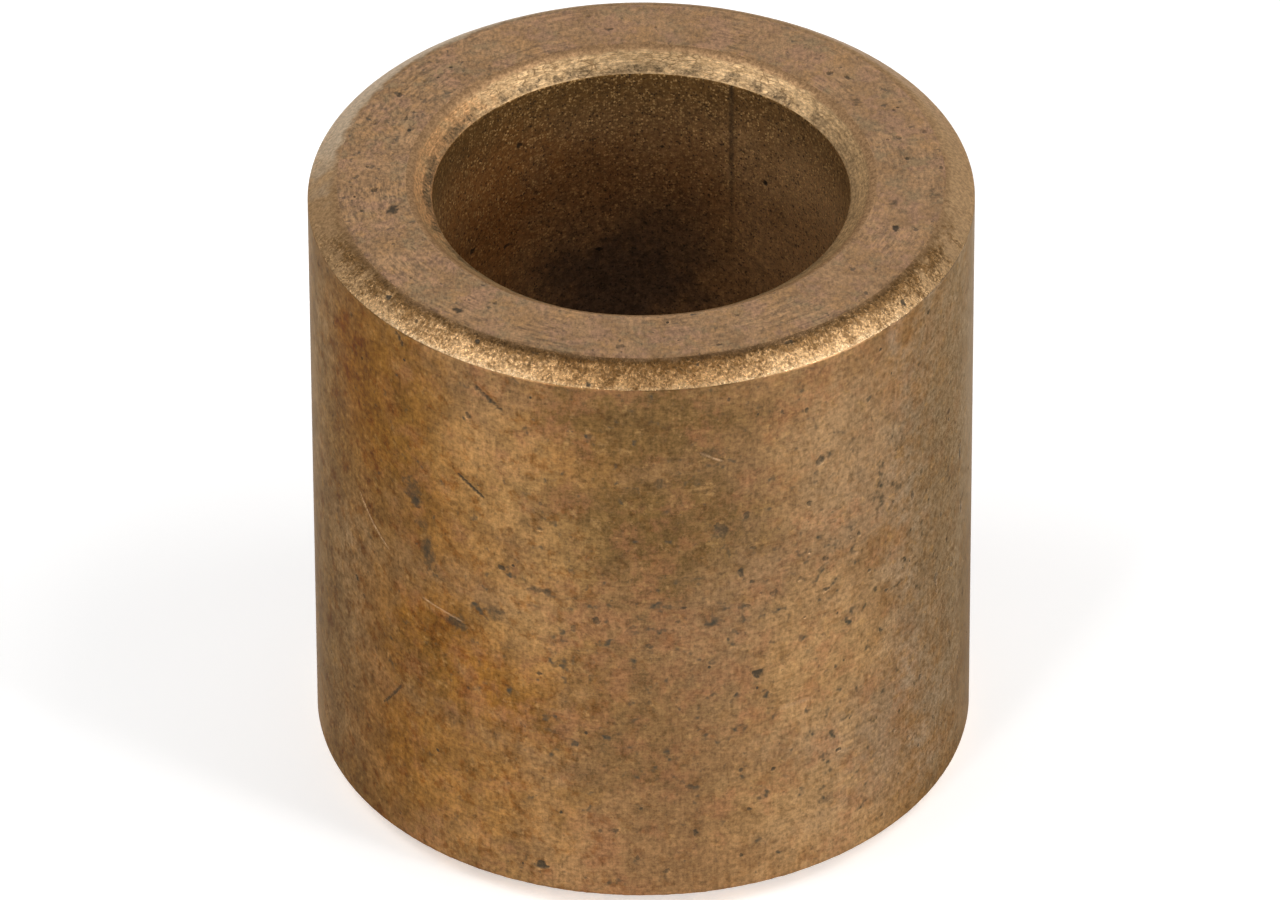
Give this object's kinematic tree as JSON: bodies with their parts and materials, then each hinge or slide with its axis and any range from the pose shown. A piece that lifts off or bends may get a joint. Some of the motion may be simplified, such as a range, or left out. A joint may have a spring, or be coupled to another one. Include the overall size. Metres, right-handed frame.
{
  "type": "cylindrical bushing",
  "caption": "Plain cylindrical bearing bushing of sintered bronze, with a straight bore, a straight outer wall, flat end faces and shallow chamfers inside and out.",
  "frame": {"origin": "centre of the lower end face, on the bore axis", "axes": "+Z along the bore axis, up from the end the bushing stands on; X and Y are free, because the bushing is round"},
  "size_m": [0.016, 0.016, 0.016],
  "materials": {
    "sintered_bronze": "matte"
  },
  "bodies": {
    "root": {"bushing": "sintered_bronze"}
  },
  "joints": []
}
